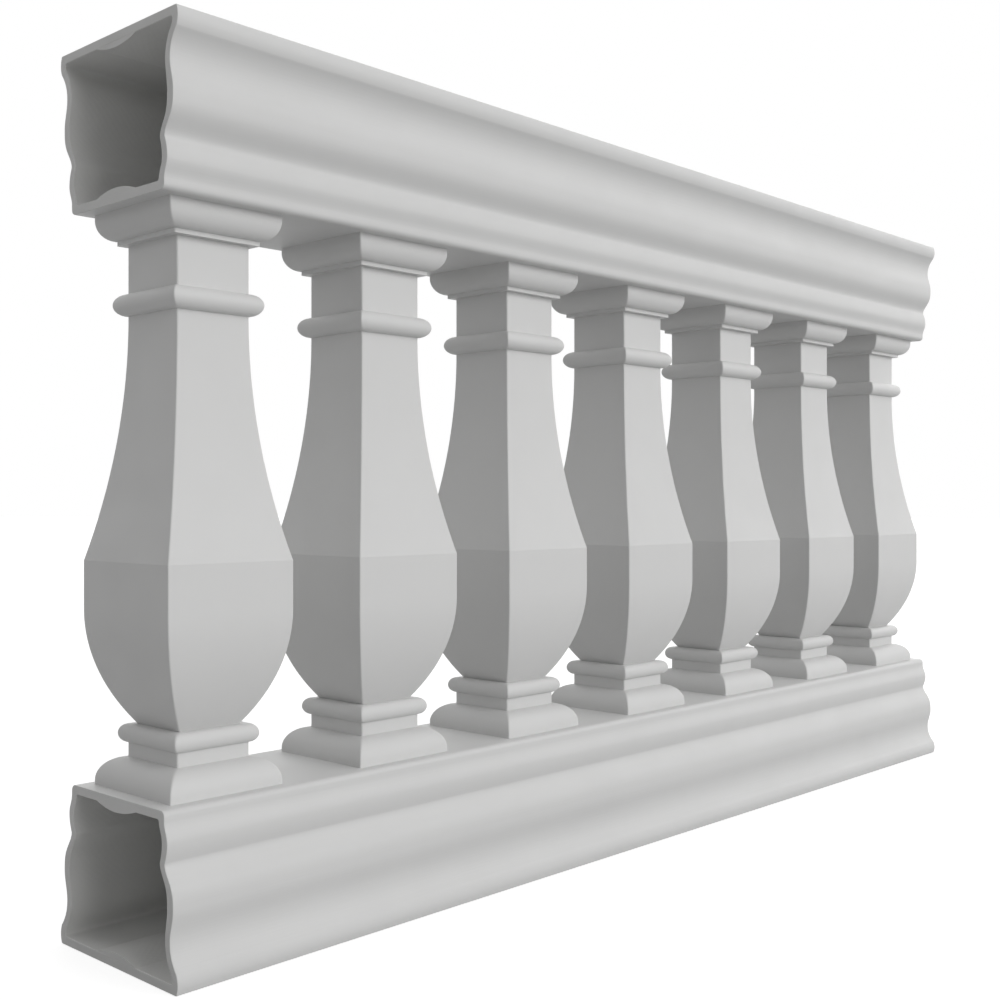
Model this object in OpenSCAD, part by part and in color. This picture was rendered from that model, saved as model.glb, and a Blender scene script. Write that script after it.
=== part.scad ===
// Fiberglass balustrade section: two hollow moulded rails and a row of square vase balusters.
// X runs along the rail, -Y is the front, Z is up and the origin is under the middle.
// The top rail is the bottom rail turned over, and each shell is made in two bonded halves.

/* [Overall] */
// Height from the ground to the crown of the top rail
overall_h = 914; // [762:1:1100]
// Distance between the centre lines of neighbouring balusters
pitch = 243.2; // [180:0.1:320]
// Length of rail past the centre line of the baluster at each end
overhang = 85; // [80:0.5:150]

/* [Rail] */
// Height of each rail
rail_h = 167; // [139:1:201]
// Thickness of the rail's laminate
rail_wall = 8.8; // [5:0.1:12]
// How much the laminate fills in behind a swell and thins out behind a cove
wall_drift = 1; // [0:0.1:2]
// Width across the bead under the crown
bead_w = 210; // [196:0.2:256]
// Width at the arris between the bead and the cove
arris_w = 205.8; // [196:0.2:246]
// Width at the hollow of the cove
cove_w = 184.6; // [174:0.2:194]
// Width across the swell in the middle of the face
swell_w = 195; // [186:0.2:236]
// Width at the groove above the foot
groove_w = 167.2; // [162:0.2:174]
// Width across the small bead of the foot
foot_bead_w = 176; // [170:0.2:212]
// Width of the foot, where the balusters meet the rail
foot_w = 165.8; // [162:0.2:170]
// Depth of the bead below the crown
bead_d = 10; // [8:0.5:12]
// Depth of the arris below the crown
arris_d = 19.5; // [15:0.5:24]
// Depth of the cove below the crown
cove_d = 47; // [40:0.5:56]
// Depth of the swell below the crown
swell_d = 77; // [64:0.5:80]
// Height of the groove above the foot
groove_up = 49.5; // [42:0.5:58]
// Height of the foot bead above the foot
foot_bead_up = 30; // [26:0.5:36]
// Height above the foot at which its bead has run out
foot_up = 10; // [8:0.5:12]
// Radius of the crown's long edges
crown_edge_r = 2; // [1:0.1:3]
// Radius of the foot's long edges
foot_edge_r = 6; // [3:0.1:7]

/* [Seam lap] */
// Width of the strip bonded over each seam inside the rail
lap_w = 70; // [50:1:90]
// Thickness of the strip in its middle
lap_t = 6; // [3:0.1:8]

/* [Baluster] */
// Thickness of the baluster's laminate
baluster_wall = 6; // [4:0.1:8]
// Width of the base where it stands on the rail
base_w = 136; // [120:0.2:150]
// Width of the plinth under the lower ring, and of the neck above the upper ring
neck_w = 87.5; // [73:0.5:100]
// How far the lower ring stands out past the plinth
lower_ring_out = 7.75; // [4:0.25:10]
// Width of the vase where it rises from the lower ring
vase_foot_w = 74.4; // [62:0.2:85]
// Width across the belly
belly_w = 151.8; // [128:0.2:158]
// How far the upper ring stands out past the neck
upper_ring_out = 11.5; // [6:0.25:14]
// How far the fillet under the cap stands out past the neck
fillet_out = 8; // [4:0.25:10]
// Width of the cap where it meets the rail
cap_w = 136; // [124:0.2:150]
// Height of the upright lip at the bottom of the base
base_lip_h = 4.5; // [3:0.5:8]
// Height of the base, lip and quarter round together
base_h = 28.5; // [22:0.5:36]
// Height of the plinth
plinth_h = 14.5; // [8:0.5:20]
// Height of the lower ring
lower_ring_h = 19; // [14:0.5:24]
// Height of the swelling lower part of the vase
bowl_h = 117; // [97:1:141]
// Height of the upright band of the belly
belly_h = 49.5; // [40:0.5:60]
// Height of the upper ring
upper_ring_h = 23; // [18:0.5:28]
// Height of the neck
neck_h = 49; // [40:0.5:60]
// Height of the fillet under the cap
fillet_h = 4.5; // [3:0.5:6]
// Height of the cap, quarter round and lip together
cap_h = 26.5; // [20:0.5:32]
// Height of the upright lip at the top of the cap
cap_lip_h = 5; // [3:0.5:8]

/* [Hidden] */
BALUSTERS = 7;
HALVES = ["front", "back"];
RAILS = ["top", "bottom"];

rail_l = (BALUSTERS - 1) * pitch + 2 * overhang;
baluster_h = overall_h - 2 * rail_h;
taper_h = baluster_h - base_h - plinth_h - lower_ring_h - bowl_h - belly_h
    - upper_ring_h - neck_h - fillet_h - cap_h;
// A cutter runs this far past what it cuts
past = 1;
// Steps in each curve of an outline
steps = 6;

rail_colour = [0.80, 0.80, 0.79];
lap_colour = [0.66, 0.65, 0.60];
baluster_colour = [0.83, 0.83, 0.82];

// ---- Curves ----

// Share of the way from one width to the next: "roll" leaves a crest, "settle" comes to rest
// in a hollow and "wave" does both; lean over 1 holds the crest longer
function ease(kind, t, lean) =
    kind == "roll" ? pow(t, 2)
    : kind == "settle" ? 1 - pow(1 - t, 2.2)
    : pow(sin(90 * pow(t, lean)), 2);

// Points [half width, depth] from turn a to turn b, without the point at a
function span(a, b) = [
    for (i = [1:steps])
        let (t = i / steps)
        [a[1] + (b[1] - a[1]) * ease(b[2], t, b[3]), a[0] + (b[0] - a[0]) * t]
];

// Points on an ellipse about [cx, cz] with half axes rx and rz
function bow(cx, cz, rx, rz, from, to) = [
    for (i = [0:steps])
        let (a = from + (to - from) * i / steps)
        [cx + rx * cos(a), cz + rz * sin(a)]
];

// Radius of an arc that is upright at one end and has gone in by "inward" after a height h
function upright_arc_r(h, inward) = (h * h + inward * inward) / (2 * inward);

// ---- Rail ----

// Turning points of the moulding from crown to foot, for a laminate this far in:
// [depth, half width, curve that leads to it, lean]. Drift is +1 behind a swell, -1 behind a cove
function rail_turns(inset, drift) = [
    [bead_d, bead_w / 2 - inset, "roll", 1],
    [arris_d, arris_w / 2 - inset - drift, "roll", 1],
    [cove_d, cove_w / 2 - inset + drift, "settle", 1],
    [swell_d, swell_w / 2 - inset - drift, "wave", 1],
    [rail_h - groove_up, groove_w / 2 - inset + drift, "wave", 1.6],
    [rail_h - foot_bead_up, foot_bead_w / 2 - inset, "wave", 0.6],
    [rail_h - foot_up, foot_w / 2 - inset, "wave", 1]
];

// The moulded face between the first and the last turn
function moulding(turns) = concat(
    [[turns[0][1], turns[0][0]]],
    [for (i = [1:len(turns) - 1]) each span(turns[i - 1], turns[i])]
);

// Outside of the half section, [half width, depth], from the middle of the crown to that of the foot
function rail_outside() =
    let (
        face = moulding(rail_turns(0, 0)),
        crown = bead_w / 2 - pow((bead_d - crown_edge_r) / bead_d, 2) * (bead_w - arris_w) / 2,
        foot = foot_w / 2 - foot_edge_r
    )
    concat(
        [[0, 0]],
        bow(crown - crown_edge_r, crown_edge_r, crown_edge_r, -crown_edge_r, 90, 0),
        face,
        bow(foot, rail_h - foot_edge_r, foot_edge_r, foot_edge_r, 0, 90),
        [[0, rail_h]]
    );

// Inside of the half section, from the middle of the foot back to that of the crown
function rail_inside() =
    let (
        face = moulding(rail_turns(rail_wall, wall_drift)),
        low = rail_h - rail_wall,
        clear = [for (p = face) if (p[1] > rail_wall && p[1] < low) p]
    )
    concat(
        [[0, low], [foot_w / 2 - rail_wall, low]],
        [for (i = [len(clear) - 1:-1:0]) clear[i]],
        [[clear[0][0], rail_wall], [0, rail_wall]]
    );

// Runs a section, drawn as [across, up], along the whole rail
module along_rail()
    rotate([90, 0, 90]) linear_extrude(rail_l, center = true) children();

// Puts a rail drawn with its crown at the origin and its foot hanging down in its place
module place_rail(rail)
    if (rail == "top") translate([0, 0, overall_h]) children();
    else mirror([0, 0, 1]) children();

module rail_shell(half)
    color(rail_colour)
        mirror([0, half == "front" ? 1 : 0, 0])
            along_rail()
                polygon([for (p = concat(rail_outside(), rail_inside())) [p[0], -p[1]]]);

// A strip with a flat back and a bowed face, drawn with its back at the origin, face down
module lap() {
    r = upright_arc_r(lap_w / 2, lap_t);
    color(lap_colour)
        intersection() {
            translate([0, 0, r - lap_t]) rotate([0, 90, 0])
                cylinder(h = rail_l, r = r, center = true, $fn = 180);
            translate([-rail_l, -lap_w, -2 * lap_t]) cube([2 * rail_l, 2 * lap_w, 2 * lap_t]);
        }
}

module crown_lap() translate([0, 0, -rail_wall]) lap();

module foot_lap() translate([0, 0, rail_wall - rail_h]) mirror([0, 0, 1]) lap();

// ---- Baluster ----

// Heights of the members above the rail that the baluster stands on
z_ring = base_h + plinth_h;
z_vase = z_ring + lower_ring_h;
z_belly = z_vase + bowl_h;
z_crease = z_belly + belly_h;
z_upper_ring = z_crease + taper_h;
z_neck = z_upper_ring + upper_ring_h;
z_fillet = z_neck + neck_h;
z_cap = z_fillet + fillet_h;

fillet_w = neck_w + 2 * fillet_out;

// Lower part of the vase, swelling to the belly
function bowl(inset) =
    let (r = upright_arc_r(bowl_h, (belly_w - vase_foot_w) / 2))
    [for (i = [0:2 * steps])
        let (down = bowl_h * (1 - i / (2 * steps)))
        [belly_w / 2 - r + sqrt(r * r - down * down) - inset, z_belly - down]];

// Long hollow taper from the crease of the belly to the upper ring
function taper(inset) =
    let (r = upright_arc_r(taper_h, (belly_w - neck_w) / 2))
    [for (i = [0:2 * steps])
        let (down = taper_h * (1 - i / (2 * steps)))
        [neck_w / 2 + r - sqrt(r * r - down * down) - inset, z_upper_ring - down]];

// Outer half outline, [half width, height], from the base up
function baluster_outside() = concat(
    [[base_w / 2, 0]],
    bow(neck_w / 2, base_lip_h, (base_w - neck_w) / 2, base_h - base_lip_h, 0, 90),
    bow(neck_w / 2, z_ring + lower_ring_h / 2, lower_ring_out, lower_ring_h / 2, -90, 90),
    bowl(0),
    taper(0),
    bow(neck_w / 2, z_neck - upper_ring_h / 2, upper_ring_out, upper_ring_h / 2, -90, 90),
    [[neck_w / 2, z_fillet], [fillet_w / 2, z_fillet]],
    bow(fillet_w / 2, baluster_h - cap_lip_h, (cap_w - fillet_w) / 2, cap_h - cap_lip_h, -90, 0),
    [[cap_w / 2, baluster_h]]
);

// Inner half outline; the laminate fills the rings and the fillet
function baluster_inside() =
    let (w = baluster_wall, bore = neck_w / 2 - w)
    concat(
        [[base_w / 2 - w, -past]],
        bow(neck_w / 2, base_lip_h, (base_w - neck_w) / 2 - w, base_h - base_lip_h - w, 0, 90),
        [[bore, base_h - w], [bore, z_ring]],
        bowl(w),
        taper(w),
        [[bore, z_cap + w]],
        bow(fillet_w / 2, baluster_h - cap_lip_h, (cap_w - fillet_w) / 2 - w,
            cap_h - cap_lip_h - w, -90, 0),
        [[cap_w / 2 - w, baluster_h + past]]
    );

// A square solid with this half outline on all four sides, kept up to "over" past its middle plane
module square_turning(outline, over) {
    last = len(outline) - 1;
    reach = belly_w;
    intersection() {
        translate([0, over, 0]) rotate([90, 0, 0]) linear_extrude(reach)
            polygon(concat(outline, [for (i = [last:-1:0]) [-outline[i][0], outline[i][1]]]));
        rotate([90, 0, 90]) linear_extrude(2 * reach, center = true)
            polygon(concat(
                [[over, outline[0][1]]],
                [for (p = outline) [-p[0], p[1]]],
                [[over, outline[last][1]]]
            ));
    }
}

module baluster_half(i, half)
    color(baluster_colour)
        translate([(i - (BALUSTERS + 1) / 2) * pitch, 0, rail_h])
            mirror([0, half == "back" ? 1 : 0, 0])
                difference() {
                    square_turning(baluster_outside(), 0);
                    square_turning(baluster_inside(), past);
                }

// ---- Nodes ----

for (rail = RAILS) {
    for (half = HALVES)
        place_rail(rail) rail_shell(half);
    place_rail(rail) crown_lap();
    place_rail(rail) foot_lap();
}
for (i = [1:BALUSTERS], half = HALVES)
    baluster_half(i, half);
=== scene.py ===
"""Looks of a fiberglass balustrade section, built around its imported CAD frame.

Two hollow moulded rails, each laid up as a front and a back shell with a strip bonded over each
seam, carry a row of square vase balusters. Every length is in metres, in the frame's own axes:
X along the rails, -Y the front and Z up. An outline is a list of (half width, height) points for
a baluster, and of (half width, depth below the crown) points for a rail.
"""

import logging
import math
from dataclasses import dataclass, field
from enum import Enum
from typing import Iterable

import bmesh
import bpy
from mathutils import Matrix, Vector

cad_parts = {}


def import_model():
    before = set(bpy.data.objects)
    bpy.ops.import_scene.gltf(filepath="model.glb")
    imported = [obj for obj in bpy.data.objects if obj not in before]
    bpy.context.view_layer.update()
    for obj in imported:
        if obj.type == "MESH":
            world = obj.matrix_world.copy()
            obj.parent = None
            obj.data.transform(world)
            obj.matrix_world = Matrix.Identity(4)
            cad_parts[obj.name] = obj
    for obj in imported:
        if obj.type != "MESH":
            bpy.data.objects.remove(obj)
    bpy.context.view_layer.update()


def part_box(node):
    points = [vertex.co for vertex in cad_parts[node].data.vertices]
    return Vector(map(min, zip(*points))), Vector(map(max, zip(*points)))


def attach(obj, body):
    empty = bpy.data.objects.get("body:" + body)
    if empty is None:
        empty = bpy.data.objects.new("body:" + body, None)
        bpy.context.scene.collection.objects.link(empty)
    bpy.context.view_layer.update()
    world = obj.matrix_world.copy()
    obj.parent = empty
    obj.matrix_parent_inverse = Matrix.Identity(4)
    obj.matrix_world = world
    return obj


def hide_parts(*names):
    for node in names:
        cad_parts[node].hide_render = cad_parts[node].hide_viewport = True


LOG = logging.getLogger("balustrade")
BODY = "root"
MM = 0.001
MERGE = 0.001 * MM
SETTLE_POWER = 2.2
END_NORMAL = 0.9
Point = tuple[float, float]
Outline = list[Point]
Place = tuple[float, float, float]


class Ease(Enum):
    """How a moulding's width changes from one turning point to the next."""

    ROLL = "leaves a crest"
    SETTLE = "comes to rest in a hollow"
    WAVE = "does both"


class Side(Enum):
    """The two halves of a rail, with the sign of their Y."""

    FRONT = -1
    BACK = 1


class Skin(Enum):
    """The material slots of a rail shell, in order."""

    FACE = 0
    INSIDE = 1
    CUT = 2


# ---------------------------------------------------------------------------
# Outlines
# ---------------------------------------------------------------------------


@dataclass(frozen=True)
class Turn:
    """One turning point of a moulding.

    Attributes:
        depth: Distance below the crown.
        half: Half the width there.
        ease: The curve that leads to it.
        lean: Over 1, the curve stays longer on the crest that it leaves.
    """

    depth: float
    half: float
    ease: Ease = Ease.WAVE
    lean: float = 1.0

    def share(self, t: float) -> float:
        """Share of the change in width that is done at t, from 0 to 1 along the way."""
        if self.ease is Ease.ROLL:
            return t**2
        if self.ease is Ease.SETTLE:
            return 1 - (1 - t) ** SETTLE_POWER
        return math.sin(math.pi / 2 * t**self.lean) ** 2


def moulding(turns: list[Turn], steps: int) -> Outline:
    """Runs a curve through turning points.

    Args:
        turns: The points, from the top down.
        steps: Stretches between two of them.

    Returns:
        Points as (half width, depth).
    """
    points = [(turns[0].half, turns[0].depth)]
    for a, b in zip(turns, turns[1:]):
        for i in range(1, steps + 1):
            t = i / steps
            half = a.half + (b.half - a.half) * b.share(t)
            points.append((half, a.depth + (b.depth - a.depth) * t))
    return points


def bow(centre: Point, half_axes: Point, start: float, end: float, steps: int) -> Outline:
    """Points on part of an ellipse.

    Args:
        centre: Its middle.
        half_axes: Its half width and half height.
        start: Angle of the first point, in degrees from straight out.
        end: Angle of the last point.
        steps: Stretches between them.

    Returns:
        The points, the two ends among them.
    """
    (x, y), (wide, tall) = centre, half_axes
    angles = [math.radians(start + (end - start) * i / steps) for i in range(steps + 1)]
    return [(x + wide * math.cos(a), y + tall * math.sin(a)) for a in angles]


def upright_radius(height: float, inward: float) -> float:
    """Radius of an arc that is upright at one end and has gone in by "inward" after a height."""
    return (height**2 + inward**2) / (2 * inward)


# ---------------------------------------------------------------------------
# Meshes
# ---------------------------------------------------------------------------


def chain(bm: bmesh.types.BMesh, points: Iterable[Place]) -> tuple[list, list]:
    """Adds a row of vertices joined by edges.

    Args:
        bm: The mesh to add to.
        points: Their places.

    Returns:
        The vertices and the edges.
    """
    verts = [bm.verts.new(p) for p in points]
    edges = [bm.edges.new(pair) for pair in zip(verts, verts[1:])]
    return verts, edges


def finish_piece(
    bm: bmesh.types.BMesh, name: str, materials: list[bpy.types.Material], nodes: list[str]
) -> bpy.types.Object:
    """Turns a bmesh into a piece that rides on the frame.

    Args:
        bm: The finished mesh, which is freed.
        name: The piece's name.
        materials: Its materials, in the order of its faces' indices.
        nodes: The CAD nodes that it stands for.

    Returns:
        The new object.
    """
    mesh = bpy.data.meshes.new(name)
    bm.to_mesh(mesh)
    bm.free()
    for material in materials:
        mesh.materials.append(material)
    piece = bpy.data.objects.new(name, mesh)
    bpy.context.scene.collection.objects.link(piece)
    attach(piece, BODY)
    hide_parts(*nodes)
    LOG.info("%s: %d faces, stands for %s", name, len(mesh.polygons), ", ".join(nodes))
    return piece


def ease(bm: bmesh.types.BMesh, edges: list, width: float, segments: int) -> set[bmesh.types.BMEdge]:
    """Rounds edges off.

    Args:
        bm: The mesh.
        edges: The edges to round.
        width: How far the rounding reaches on each side.
        segments: Its facets.

    Returns:
        The edges where the rounding meets the faces beside it.
    """
    grown = bmesh.ops.bevel(
        bm,
        geom=edges,
        offset=width,
        offset_type="OFFSET",
        segments=segments,
        profile=0.5,
        affect="EDGES",
        material=-1,
    )
    rounding = set(grown["faces"])
    return {edge for face in rounding for edge in face.edges if not rounding.issuperset(edge.link_faces)}


def smooth_below(bm: bmesh.types.BMesh, degrees: float, borders: set[bmesh.types.BMEdge]) -> None:
    """Shades every face smooth, with sharp edges where they turn more than this and at the borders."""
    limit = math.radians(degrees)
    for face in bm.faces:
        face.smooth = True
    for edge in bm.edges:
        edge.smooth = edge.is_manifold and edge.calc_face_angle(0) < limit and edge not in borders


# ---------------------------------------------------------------------------
# Finishes
# ---------------------------------------------------------------------------


class Nodes:
    """Short ways to add and join the nodes of one tree."""

    def __init__(self, tree: bpy.types.NodeTree) -> None:
        """Starts from a tree, which keeps its own nodes."""
        self.tree = tree

    def add(self, kind: str, **settings: object) -> bpy.types.Node:
        """Adds a node and sets what is named on it."""
        node = self.tree.nodes.new(kind)
        for key, value in settings.items():
            setattr(node, key, value)
        return node

    def join(self, source: bpy.types.NodeSocket, target: bpy.types.NodeSocket) -> None:
        """Links an output to an input."""
        self.tree.links.new(source, target)

    def noise(self, vector: bpy.types.NodeSocket, scale: float, detail: float) -> bpy.types.NodeSocket:
        """A noise texture's factor on these coordinates."""
        node = self.add("ShaderNodeTexNoise")
        node.inputs["Scale"].default_value = scale
        node.inputs["Detail"].default_value = detail
        self.join(vector, node.inputs["Vector"])
        return node.outputs["Fac"]

    def math(self, operation: str, a: object, b: object = 0.0) -> bpy.types.NodeSocket:
        """What this operation makes of two values, each a number or a socket."""
        node = self.add("ShaderNodeMath", operation=operation)
        for value, socket in ((a, node.inputs[0]), (b, node.inputs[1])):
            if isinstance(value, bpy.types.NodeSocket):
                self.join(value, socket)
            else:
                socket.default_value = value
        return node.outputs["Value"]

    def remap(self, value: bpy.types.NodeSocket, given: Point, wanted: Point) -> bpy.types.NodeSocket:
        """A value's range stretched to another, and held at its ends."""
        node = self.add("ShaderNodeMapRange")
        self.join(value, node.inputs["Value"])
        for key, number in zip(("From Min", "From Max", "To Min", "To Max"), (*given, *wanted)):
            node.inputs[key].default_value = number
        return node.outputs["Result"]


class Effect:
    """A shader node group in the making, with its nodes and its sockets by name."""

    def __init__(self, name: str, inputs: dict[str, tuple[str, object]], output: str, kind: str) -> None:
        """Starts the group.

        Args:
            name: Its name.
            inputs: Each input's kind of socket and its default. A "Vector" comes before them.
            output: The name of what it puts out.
            kind: That output's kind of socket.
        """
        self.group = bpy.data.node_groups.new(name, "ShaderNodeTree")
        sockets = self.group.interface
        sockets.new_socket("Vector", in_out="INPUT", socket_type="NodeSocketVector")
        for key, (sort, default) in inputs.items():
            sockets.new_socket(key, in_out="INPUT", socket_type=sort).default_value = default
        sockets.new_socket(output, in_out="OUTPUT", socket_type=kind)
        self.nodes = Nodes(self.group)
        self.given = self.nodes.add("NodeGroupInput").outputs
        self.out = self.nodes.add("NodeGroupOutput").inputs[output]

    def noise(self, scale: float, detail: float) -> bpy.types.NodeSocket:
        """A noise on the coordinates that the group is given."""
        return self.nodes.noise(self.given["Vector"], scale, detail)

    def blend(self, *parts: tuple[bpy.types.NodeSocket, object]) -> bpy.types.NodeSocket:
        """The sum of some values, each times its weight."""
        total = None
        for value, weight in parts:
            part = self.nodes.math("MULTIPLY", value, weight)
            total = part if total is None else self.nodes.math("ADD", total, part)
        return total

    def finish(self, value: bpy.types.NodeSocket) -> bpy.types.NodeTree:
        """Puts the value out and gives back the group."""
        self.nodes.join(value, self.out)
        return self.group


def mottle_group() -> bpy.types.NodeTree:
    """Cloudy and speckled change of a colour, as pigment settles in resin."""
    inputs = {"Colour": ("NodeSocketColor", (0.6, 0.6, 0.6, 1)), "Amount": ("NodeSocketFloat", 0.03)}
    effect = Effect("mottle", inputs, "Colour", "NodeSocketColor")
    n, given = effect.nodes, effect.given
    clouds, streaks, specks = effect.noise(7.0, 4.0), effect.noise(38.0, 3.0), effect.noise(900.0, 2.0)
    wander = n.math("SUBTRACT", effect.blend((clouds, 0.55), (streaks, 0.3), (specks, 0.15)), 0.5)
    swing = n.math("MULTIPLY", wander, n.math("MULTIPLY", given["Amount"], 4.0))
    scale = n.add("ShaderNodeVectorMath", operation="SCALE")
    n.join(given["Colour"], scale.inputs["Vector"])
    n.join(n.math("ADD", swing, 1.0), scale.inputs["Scale"])
    return effect.finish(scale.outputs["Vector"])


def moulded_group() -> bpy.types.NodeTree:
    """Height of a moulded skin: fine peel from the mould and slow waves from the resin's shrinkage."""
    effect = Effect("moulded_skin", {"Waves": ("NodeSocketFloat", 0.6)}, "Height", "NodeSocketFloat")
    peel, waves = effect.noise(420.0, 2.0), effect.noise(11.0, 1.0)
    return effect.finish(effect.blend((peel, 0.35), (waves, effect.given["Waves"])))


def weave_group() -> bpy.types.NodeTree:
    """Height of glass cloth under resin: two sets of crossing yarns, blurred by the resin over them."""
    effect = Effect("glass_weave", {"Yarns": ("NodeSocketFloat", 125.0)}, "Height", "NodeSocketFloat")
    n, given = effect.nodes, effect.given
    split = n.add("ShaderNodeSeparateXYZ")
    n.join(given["Vector"], split.inputs["Vector"])
    across = n.math("ADD", split.outputs["Y"], split.outputs["Z"])
    turn = n.math("MULTIPLY", given["Yarns"], math.tau)
    warp = n.math("SINE", n.math("MULTIPLY", split.outputs["X"], turn))
    weft = n.math("SINE", n.math("MULTIPLY", across, turn))
    resin = effect.noise(60.0, 3.0)
    return effect.finish(effect.blend((n.math("MULTIPLY", warp, weft), 0.12), (resin, 0.9)))


@dataclass
class Workshop:
    """The shared node groups, and the way to place them in a material."""

    mottle: bpy.types.NodeTree = field(default_factory=mottle_group)
    moulded: bpy.types.NodeTree = field(default_factory=moulded_group)
    weave: bpy.types.NodeTree = field(default_factory=weave_group)

    def place(
        self, nodes: Nodes, group: bpy.types.NodeTree, vector: bpy.types.NodeSocket, **values: object
    ) -> bpy.types.NodeSocket:
        """Places a group on these coordinates with its own values, and gives what it puts out."""
        node = nodes.add("ShaderNodeGroup", node_tree=group)
        nodes.join(vector, node.inputs["Vector"])
        for key, value in values.items():
            node.inputs[key].default_value = value
        return node.outputs[0]


@dataclass(frozen=True)
class Resin:
    """A finish of moulded or laid-up resin.

    Attributes:
        name: The material's name.
        colour: Its colour, linear.
        mottle: How far its colour wanders, as a share.
        gloss: Lowest and highest roughness.
        relief: Height of its relief.
        shine: Its specular level.
        woven: Whether glass cloth shows in the relief.
        grain: How densely the relief changes along X, Y and Z. A low X draws it out along the rails.
    """

    name: str
    colour: tuple[float, float, float]
    mottle: float
    gloss: tuple[float, float]
    relief: float
    shine: float = 0.35
    woven: bool = False
    grain: tuple[float, float, float] = (1.0, 1.0, 1.0)

    def build(self, shop: Workshop) -> bpy.types.Material:
        """Makes the material.

        Args:
            shop: The shared node groups.

        Returns:
            The new material.
        """
        material = bpy.data.materials.new(self.name)
        material.use_nodes = True
        n = Nodes(material.node_tree)
        shader = material.node_tree.nodes["Principled BSDF"]
        place = n.add("ShaderNodeTexCoord").outputs["Object"]
        tint = shop.place(n, shop.mottle, place, Colour=(*self.colour, 1.0), Amount=self.mottle)
        n.join(tint, shader.inputs["Base Color"])
        n.join(n.remap(n.noise(place, 24.0, 3.0), (0.3, 0.7), self.gloss), shader.inputs["Roughness"])
        drawn = n.add("ShaderNodeVectorMath", operation="MULTIPLY")
        n.join(place, drawn.inputs[0])
        drawn.inputs[1].default_value = self.grain
        height = shop.place(n, shop.weave if self.woven else shop.moulded, drawn.outputs["Vector"])
        bump = n.add("ShaderNodeBump")
        bump.inputs["Strength"].default_value = 1.0
        bump.inputs["Distance"].default_value = self.relief
        n.join(height, bump.inputs["Height"])
        n.join(bump.outputs["Normal"], shader.inputs["Normal"])
        shader.inputs["Specular IOR Level"].default_value = self.shine
        return material


RAIL_GELCOAT = Resin(
    "rail_gelcoat", (0.620, 0.620, 0.616), 0.014, (0.50, 0.62), 0.22 * MM, grain=(0.03, 1.0, 1.0)
)
BALUSTER_GELCOAT = Resin("baluster_gelcoat", (0.628, 0.628, 0.624), 0.012, (0.50, 0.60), 0.12 * MM)
# Painted fill light: the inner laminate is coloured lighter than the gelcoat so that the shaded hollow
# inside the rails looks brighter.
INNER_LAMINATE_PAINTED_FILL = Resin("inner_laminate_painted_fill", (0.740, 0.740, 0.728), 0.030, (0.40, 0.60), 0.35 * MM, woven=True)
CUT_LAMINATE = Resin("cut_laminate", (0.600, 0.600, 0.594), 0.040, (0.55, 0.70), 0.10 * MM)
# Painted fill light: the strip over each seam inside the rails is coloured lighter, like the inner
# laminate, so that the shaded hollow looks brighter.
LAP_TAPE_PAINTED_FILL = Resin("lap_tape_painted_fill", (0.745, 0.745, 0.733), 0.028, (0.40, 0.60), 0.40 * MM, woven=True)


# ---------------------------------------------------------------------------
# Rails
# ---------------------------------------------------------------------------


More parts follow.
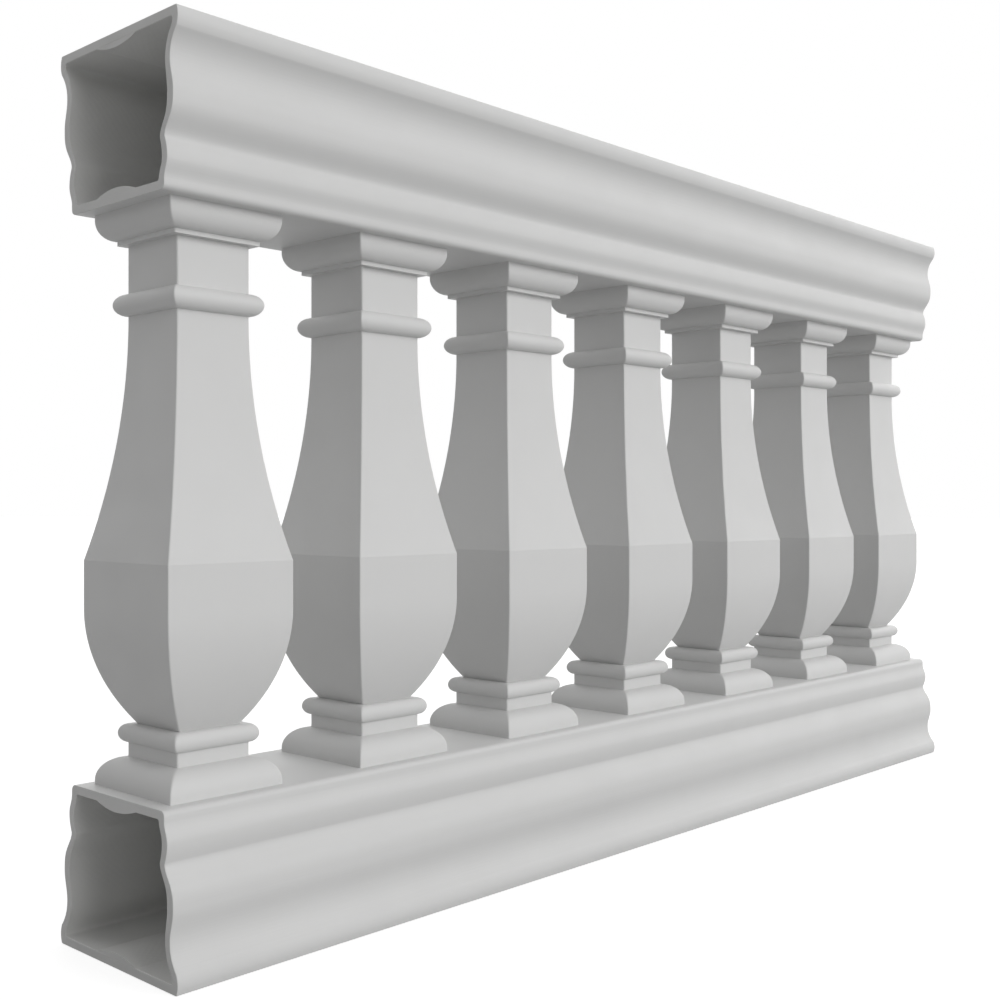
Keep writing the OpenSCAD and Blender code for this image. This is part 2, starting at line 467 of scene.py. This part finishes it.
@dataclass
class Rail:
    """One hollow moulded rail: two shells that meet in the middle, and a strip over each seam.

    Attributes:
        name: The start of its nodes' names.
        upright: Whether its crown is up. The bottom rail is turned over.
    """

    name: str
    upright: bool
    wall: float = 8.8 * MM
    drift: float = 1.0 * MM
    bead_w: float = 210.0 * MM
    arris_w: float = 205.8 * MM
    cove_w: float = 184.6 * MM
    swell_w: float = 195.0 * MM
    groove_w: float = 167.2 * MM
    foot_bead_w: float = 176.0 * MM
    foot_w: float = 165.8 * MM
    bead_d: float = 10.0 * MM
    arris_d: float = 19.5 * MM
    cove_d: float = 47.0 * MM
    swell_d: float = 77.0 * MM
    groove_up: float = 49.5 * MM
    foot_bead_up: float = 30.0 * MM
    foot_up: float = 10.0 * MM
    crown_edge_r: float = 2.0 * MM
    foot_edge_r: float = 6.0 * MM
    inner_edge_r: float = 3.0 * MM
    lap_w: float = 70.0 * MM
    lap_t: float = 6.0 * MM
    cut_edge: float = 0.5 * MM
    steps: int = 16
    edge_steps: int = 5
    lap_steps: int = 28
    sharp_from: float = 50.0
    lap_sharp_from: float = 12.0

    def __post_init__(self) -> None:
        """Takes the rail's ends and its crown's height from the frame."""
        low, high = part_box(f"{self.name}_front_shell")
        self.ends = (low.x, high.x)
        self.crown, self.foot = (high.z, low.z) if self.upright else (low.z, high.z)
        self.height = high.z - low.z

    def turns(self, inset: float, drift: float) -> list[Turn]:
        """Turning points of a skin this far in; the wall drifts thicker behind a swell."""
        return [
            Turn(self.bead_d, self.bead_w / 2 - inset),
            Turn(self.arris_d, self.arris_w / 2 - inset - drift, Ease.ROLL),
            Turn(self.cove_d, self.cove_w / 2 - inset + drift, Ease.SETTLE),
            Turn(self.swell_d, self.swell_w / 2 - inset - drift),
            Turn(self.height - self.groove_up, self.groove_w / 2 - inset + drift, lean=1.6),
            Turn(self.height - self.foot_bead_up, self.foot_bead_w / 2 - inset, lean=0.6),
            Turn(self.height - self.foot_up, self.foot_w / 2 - inset),
        ]

    def skin(self, face: Outline, top: float, bottom: float, radii: Point) -> Outline:
        """Closes a moulded face with a crown and a foot.

        Args:
            face: The moulded face.
            top: Depth of the crown.
            bottom: Depth of the foot.
            radii: Radius of the edge at the crown and at the foot.

        Returns:
            Points from the middle of the crown to the middle of the foot.
        """
        over, under = radii
        crown = bow((face[0][0] - over, top + over), (over, -over), 90, 0, self.edge_steps)
        foot = bow((face[-1][0] - under, bottom - under), (under, under), 0, 90, self.edge_steps)
        return [(0.0, top), *crown, *face, *foot, (0.0, bottom)]

    def outside(self) -> Outline:
        """Outer skin of half the section."""
        reach = self.bead_d - self.crown_edge_r
        swell = (reach / self.bead_d) ** 2 * (self.bead_w - self.arris_w) / 2
        left = [1 - i / self.steps for i in range(self.steps)]
        rise = [(self.bead_w / 2 - swell * t**2, self.bead_d - reach * t) for t in left]
        face = rise + moulding(self.turns(0.0, 0.0), self.steps)
        return self.skin(face, 0.0, self.height, (self.crown_edge_r, self.foot_edge_r))

    def inside(self) -> Outline:
        """Inner skin of half the section, point for point beside the outer one."""
        low = self.wall + self.inner_edge_r
        high = self.height - self.wall - self.inner_edge_r
        face = moulding(self.turns(self.wall, self.drift), self.steps)
        upright = [(face[0][0], low)] * self.steps
        held = upright + [(half, min(max(depth, low), high)) for half, depth in face]
        return self.skin(held, self.wall, self.height - self.wall, (self.inner_edge_r, self.inner_edge_r))

    def seat(self, point: Point, side: Side) -> Place:
        """Place of a section's point at the rail's first end."""
        down = -1 if self.upright else 1
        return (self.ends[0], side.value * point[0], self.crown + down * point[1])

    def run_out(self, bm: bmesh.types.BMesh, faces: list) -> None:
        """Extrudes a section from the rail's first end to its last."""
        grown = bmesh.ops.extrude_face_region(bm, geom=faces, use_keep_orig=True)
        moved = [v for v in grown["geom"] if isinstance(v, bmesh.types.BMVert)]
        bmesh.ops.translate(bm, verts=moved, vec=(self.ends[1] - self.ends[0], 0, 0))
        bmesh.ops.remove_doubles(bm, verts=bm.verts, dist=MERGE)
        bmesh.ops.recalc_face_normals(bm, faces=bm.faces)

    def at_end(self, edge: bmesh.types.BMEdge) -> bool:
        """Whether an edge lies in one of the two cut ends."""
        return any(all(abs(v.co.x - end) < MERGE for v in edge.verts) for end in self.ends)

    def soften_cuts(self, bm: bmesh.types.BMesh) -> set[bmesh.types.BMEdge]:
        """Takes the sharpness off the cut ends, but not where the shells and strips meet.

        Args:
            bm: The shell's mesh.

        Returns:
            The edges where the softened edge meets the faces beside it.
        """

        def exposed(edge: bmesh.types.BMEdge) -> bool:
            middle = (edge.verts[0].co + edge.verts[1].co) / 2
            taped = abs(middle.y) < self.lap_w / 2 + self.wall
            outer = min(abs(middle.z - self.crown), abs(middle.z - self.foot)) < self.cut_edge
            return edge.calc_face_angle(0) > math.radians(80) and (outer or not taped)

        cuts = [e for e in bm.edges if self.at_end(e) and max(abs(v.co.y) for v in e.verts) > 0]
        return ease(bm, [e for e in cuts if exposed(e)], self.cut_edge, 2)

    def shell(self, side: Side, materials: list[bpy.types.Material]) -> bpy.types.Object:
        """Builds one half shell.

        Args:
            side: Which half.
            materials: The face, inside and cut materials.

        Returns:
            The piece.
        """
        bm = bmesh.new()
        mark = bm.verts.layers.int.new("inside")
        outer, edges = chain(bm, [self.seat(p, side) for p in self.outside()])
        grown = bmesh.ops.extrude_edge_only(bm, edges=edges)
        inner = {v for v in grown["geom"] if isinstance(v, bmesh.types.BMVert)}
        for vert, point in zip(outer, self.inside()):
            partner = next(e.other_vert(vert) for e in vert.link_edges if e.other_vert(vert) in inner)
            partner.co = self.seat(point, side)
            partner[mark] = 1
        self.run_out(bm, list(bm.faces))
        for face in bm.faces:
            within = all(v[mark] for v in face.verts)
            cut = abs(face.normal.x) > END_NORMAL
            face.material_index = (Skin.CUT if cut else Skin.INSIDE if within else Skin.FACE).value
        smooth_below(bm, self.sharp_from, self.soften_cuts(bm))
        node = f"{self.name}_{side.name.lower()}_shell"
        return finish_piece(bm, f"{node}_skin", materials, [node])

    def lap(self, where: str, materials: list[bpy.types.Material]) -> bpy.types.Object:
        """Builds the strip over one seam: a flat back and a bowed face with feathered edges.

        Args:
            where: "crown" or "foot".
            materials: The tape and cut materials.

        Returns:
            The piece.
        """
        node = f"{self.name}_{where}_lap"
        low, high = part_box(node)
        radius = upright_radius(self.lap_w / 2, self.lap_t)
        inward = -1 if (where == "crown") == self.upright else 1
        back = high.z if inward < 0 else low.z
        centre = Vector((self.ends[0], 0, back + inward * (self.lap_t - radius)))
        reach = math.asin(self.lap_w / 2 / radius)
        bm = bmesh.new()
        start = bm.verts.new((self.ends[0], -self.lap_w / 2, back))
        bmesh.ops.spin(
            bm,
            geom=[start],
            cent=centre,
            axis=(1, 0, 0),
            dvec=(0, 0, 0),
            angle=-inward * 2 * reach,
            steps=self.lap_steps,
            use_merge=False,
        )
        bmesh.ops.contextual_create(bm, geom=bm.verts[:] + bm.edges[:])
        self.run_out(bm, bm.faces[:])
        for face in bm.faces:
            face.material_index = 1 if abs(face.normal.x) > END_NORMAL else 0
        smooth_below(bm, self.lap_sharp_from, set())
        return finish_piece(bm, f"{node}_tape", materials, [node])


# ---------------------------------------------------------------------------
# Balusters
# ---------------------------------------------------------------------------


@dataclass
class Baluster:
    """A square vase baluster, moulded in two halves whose joint is filled and coated over.

    Attributes:
        number: Its place in the row, from 1 at the left.
    """

    number: int
    base_w: float = 136.0 * MM
    neck_w: float = 87.5 * MM
    vase_foot_w: float = 74.4 * MM
    belly_w: float = 151.8 * MM
    cap_w: float = 136.0 * MM
    lower_ring_out: float = 7.75 * MM
    upper_ring_out: float = 11.5 * MM
    fillet_out: float = 8.0 * MM
    base_lip_h: float = 4.5 * MM
    base_h: float = 28.5 * MM
    plinth_h: float = 14.5 * MM
    lower_ring_h: float = 19.0 * MM
    bowl_h: float = 117.0 * MM
    belly_h: float = 49.5 * MM
    upper_ring_h: float = 23.0 * MM
    neck_h: float = 49.0 * MM
    fillet_h: float = 4.5 * MM
    cap_h: float = 26.5 * MM
    cap_lip_h: float = 5.0 * MM
    corner: float = 1.4 * MM
    corner_steps: int = 4
    steps: int = 16
    sharp_from: float = 40.0
    crease_from: float = 8.0

    def __post_init__(self) -> None:
        """Takes the baluster's middle, foot and height from the frame, and stacks its members."""
        halves = [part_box(node) for node in self.nodes()]
        low, high = halves[0]
        self.middle = Vector(((low.x + high.x) / 2, (low.y + halves[1][1].y) / 2, low.z))
        self.height = high.z - low.z
        self.z_ring = self.base_h + self.plinth_h
        self.z_vase = self.z_ring + self.lower_ring_h
        self.z_belly = self.z_vase + self.bowl_h
        self.z_crease = self.z_belly + self.belly_h
        self.z_fillet = self.height - self.cap_h - self.fillet_h
        self.z_neck = self.z_fillet - self.neck_h
        self.z_upper_ring = self.z_neck - self.upper_ring_h

    def nodes(self) -> list[str]:
        """Its two CAD nodes, front first."""
        return [f"baluster_{self.number}_{half}_half" for half in ("front", "back")]

    def drops(self, height: float) -> list[float]:
        """Even drops below the top of a long curve, from its foot up."""
        return [height * (1 - i / (2 * self.steps)) for i in range(2 * self.steps + 1)]

    def bowl(self) -> Outline:
        """Lower part of the vase, swelling to the belly."""
        radius = upright_radius(self.bowl_h, (self.belly_w - self.vase_foot_w) / 2)
        middle = self.belly_w / 2 - radius
        return [(middle + math.sqrt(radius**2 - d**2), self.z_belly - d) for d in self.drops(self.bowl_h)]

    def taper(self) -> Outline:
        """Long hollow taper from the crease of the belly to the upper ring."""
        rise = self.z_upper_ring - self.z_crease
        radius = upright_radius(rise, (self.belly_w - self.neck_w) / 2)
        middle = self.neck_w / 2 + radius
        return [(middle - math.sqrt(radius**2 - d**2), self.z_upper_ring - d) for d in self.drops(rise)]

    def members(self) -> list[Outline]:
        """Its members from the base up. Two of them meet in a sharp edge."""
        neck, fillet = self.neck_w / 2, self.neck_w / 2 + self.fillet_out
        base_out, cap_out = self.base_w / 2 - neck, self.cap_w / 2 - fillet
        low_ring = (neck, self.z_ring + self.lower_ring_h / 2)
        high_ring = (neck, self.z_neck - self.upper_ring_h / 2)
        base_round, cap_round = self.base_h - self.base_lip_h, self.cap_h - self.cap_lip_h
        base_lip, cap_lip = (neck, self.base_lip_h), (fillet, self.height - self.cap_lip_h)
        return [
            [(self.base_w / 2, 0.0), *bow(base_lip, (base_out, base_round), 0, 90, self.steps)],
            bow(low_ring, (self.lower_ring_out, self.lower_ring_h / 2), -90, 90, self.steps),
            [*self.bowl(), (self.belly_w / 2, self.z_crease)],
            self.taper(),
            bow(high_ring, (self.upper_ring_out, self.upper_ring_h / 2), -90, 90, self.steps),
            [(neck, self.z_fillet), (fillet, self.z_fillet)],
            [*bow(cap_lip, (cap_out, cap_round), -90, 0, self.steps), (self.cap_w / 2, self.height)],
        ]

    def mitred(self, edge: bmesh.types.BMEdge) -> bool:
        """Whether an edge runs along one of the four corners, where two faces meet in a mitre."""
        a, b = (v.co for v in edge.verts)
        on_diagonal = all(abs(abs(c.x) - abs(c.y)) < MERGE and abs(c.x) > MERGE for c in (a, b))
        return on_diagonal and a.x * b.x > 0 and a.y * b.y > 0

    def creased(self, edge: bmesh.types.BMEdge) -> bool:
        """Whether an edge is part of the crease above the belly, which is sharp though it turns little."""
        level = all(abs(v.co.z - self.z_crease) < self.corner for v in edge.verts)
        return level and edge.calc_face_angle(0) > math.radians(self.crease_from)

    def build(self, materials: list[bpy.types.Material]) -> bpy.types.Object:
        """Turns the outline into a square solid, four steps to the turn, with eased corners.

        Args:
            materials: The one gelcoat.

        Returns:
            The piece.
        """
        outline: Outline = []
        for member in self.members():
            outline += [p for p in member if not outline or math.dist(p, outline[-1]) > MERGE]
        bm = bmesh.new()
        verts, edges = chain(bm, [(-half, -half, height) for half, height in outline])
        bmesh.ops.spin(
            bm,
            geom=verts + edges,
            cent=(0, 0, 0),
            axis=(0, 0, 1),
            dvec=(0, 0, 0),
            angle=math.tau,
            steps=4,
            use_merge=True,
        )
        bmesh.ops.remove_doubles(bm, verts=bm.verts, dist=MERGE)
        bmesh.ops.holes_fill(bm, edges=[e for e in bm.edges if e.is_boundary], sides=4)
        bmesh.ops.recalc_face_normals(bm, faces=bm.faces)
        borders = ease(bm, [e for e in bm.edges if self.mitred(e)], self.corner, self.corner_steps)
        smooth_below(bm, self.sharp_from, borders | {e for e in bm.edges if self.creased(e)})
        bmesh.ops.translate(bm, verts=bm.verts, vec=self.middle)
        name = f"baluster_{self.number}_moulding"
        return finish_piece(bm, name, materials, self.nodes())


# ---------------------------------------------------------------------------
# Studio
# ---------------------------------------------------------------------------


@dataclass(frozen=True)
class Lamp:
    """A distant lamp.

    Attributes:
        name: Its name.
        towards: The way to it.
        strength: Its strength.
        spread: Its apparent width in degrees, which softens its shadows.
    """

    name: str
    towards: Place
    strength: float
    spread: float

    def hang(self) -> None:
        """Adds it to the scene."""
        data = bpy.data.lights.new(self.name, "SUN")
        data.energy = self.strength
        data.angle = math.radians(self.spread)
        lamp = bpy.data.objects.new(self.name, data)
        lamp.rotation_euler = Vector(self.towards).to_track_quat("Z", "Y").to_euler()
        bpy.context.scene.collection.objects.link(lamp)


KEY = Lamp("key", (0.20, -0.88, 0.33), 1.69, 50)
SIDE = Lamp("side_fill", (0.95, 0.00, 0.27), 1.70, 60)
REAR = Lamp("rear_fill", (0.05, 0.90, 0.43), 1.10, 90)


@dataclass
class Studio:
    """Plain soft light, a white floor and backdrop, and the camera."""

    eye: Place = (-1.4999, -1.1089, 0.457)
    heading: float = 45.317
    lens: float = 46.76
    sensor: float = 36.0
    shift: float = 0.07
    ambient: float = 0.31
    floor_size: float = 60.0
    floor_colour: float = 0.45
    floor_glow: float = 0.78
    floor_gap: float = 0.5 * MM

    def camera(self) -> None:
        """A level camera at the middle of the object's height, off its left front."""
        data = bpy.data.cameras.new("camera")
        data.lens = self.lens
        data.sensor_width = self.sensor
        data.shift_x = self.shift
        data.clip_end = 100.0
        camera = bpy.data.objects.new("camera", data)
        camera.location = self.eye
        camera.rotation_euler = (math.radians(90), 0, -math.radians(self.heading))
        bpy.context.scene.collection.objects.link(camera)
        bpy.context.scene.camera = camera

    def seen(self, n: Nodes) -> bpy.types.NodeSocket:
        """1 for rays that show the background: from the camera, in a reflection or through glass."""
        path = n.add("ShaderNodeLightPath")
        seen = n.math("MAXIMUM", path.outputs["Is Camera Ray"], path.outputs["Is Glossy Ray"])
        return n.math("MAXIMUM", seen, path.outputs["Is Transmission Ray"])

    def world(self) -> None:
        """White where it is seen, and a plain soft light on the object."""
        world = bpy.data.worlds.new("studio")
        bpy.context.scene.world = world
        world.use_nodes = True
        n = Nodes(world.node_tree)
        background = world.node_tree.nodes["Background"]
        background.inputs["Color"].default_value = (1, 1, 1, 1)
        n.join(n.remap(self.seen(n), (0.0, 1.0), (self.ambient, 1.0)), background.inputs["Strength"])

    def floor(self) -> None:
        """A pale floor just under the object that keeps its shadow."""
        material = bpy.data.materials.new("studio_floor")
        material.use_nodes = True
        n = Nodes(material.node_tree)
        shader = material.node_tree.nodes["Principled BSDF"]
        shader.inputs["Base Color"].default_value = (*[self.floor_colour] * 3, 1)
        shader.inputs["Roughness"].default_value = 0.9
        shader.inputs["Specular IOR Level"].default_value = 0.0
        shader.inputs["Emission Color"].default_value = (1, 1, 1, 1)
        n.join(n.math("MULTIPLY", self.seen(n), self.floor_glow), shader.inputs["Emission Strength"])
        bm = bmesh.new()
        bmesh.ops.create_grid(bm, x_segments=1, y_segments=1, size=self.floor_size / 2)
        bmesh.ops.translate(bm, verts=bm.verts, vec=(0, 0, -self.floor_gap))
        mesh = bpy.data.meshes.new("studio_floor")
        bm.to_mesh(mesh)
        bm.free()
        mesh.materials.append(material)
        floor = bpy.data.objects.new("studio_floor", mesh)
        bpy.context.scene.collection.objects.link(floor)

    def build(self) -> None:
        """Sets up the camera, the background and the lamps."""
        bpy.context.scene.view_settings.view_transform = "Standard"
        self.camera()
        self.world()
        self.floor()
        for lamp in (KEY, SIDE, REAR):
            lamp.hang()


# ---------------------------------------------------------------------------
# The whole section
# ---------------------------------------------------------------------------


@dataclass
class Balustrade:
    """The two rails and the balusters between them."""

    count: int = 7

    def build(self) -> list[bpy.types.Object]:
        """Builds every piece.

        Returns:
            The pieces, rails first.
        """
        shop = Workshop()
        skins = [finish.build(shop) for finish in (RAIL_GELCOAT, INNER_LAMINATE_PAINTED_FILL, CUT_LAMINATE)]
        tapes = [LAP_TAPE_PAINTED_FILL.build(shop), skins[Skin.CUT.value]]
        gelcoat = [BALUSTER_GELCOAT.build(shop)]
        pieces = []
        for rail in (Rail("top_rail", upright=True), Rail("bottom_rail", upright=False)):
            pieces += [rail.shell(side, skins) for side in Side]
            pieces += [rail.lap(where, tapes) for where in ("crown", "foot")]
        pieces += [Baluster(i).build(gelcoat) for i in range(1, self.count + 1)]
        return pieces


def main() -> None:
    """Loads the frame, builds the looks around it and logs the pieces and their faces."""
    logging.basicConfig(level=logging.INFO, format="%(name)s: %(message)s")
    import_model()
    Studio().build()
    pieces = Balustrade().build()
    LOG.info("%d pieces, %d faces", len(pieces), sum(len(p.data.polygons) for p in pieces))


if __name__ == "__main__":
    main()
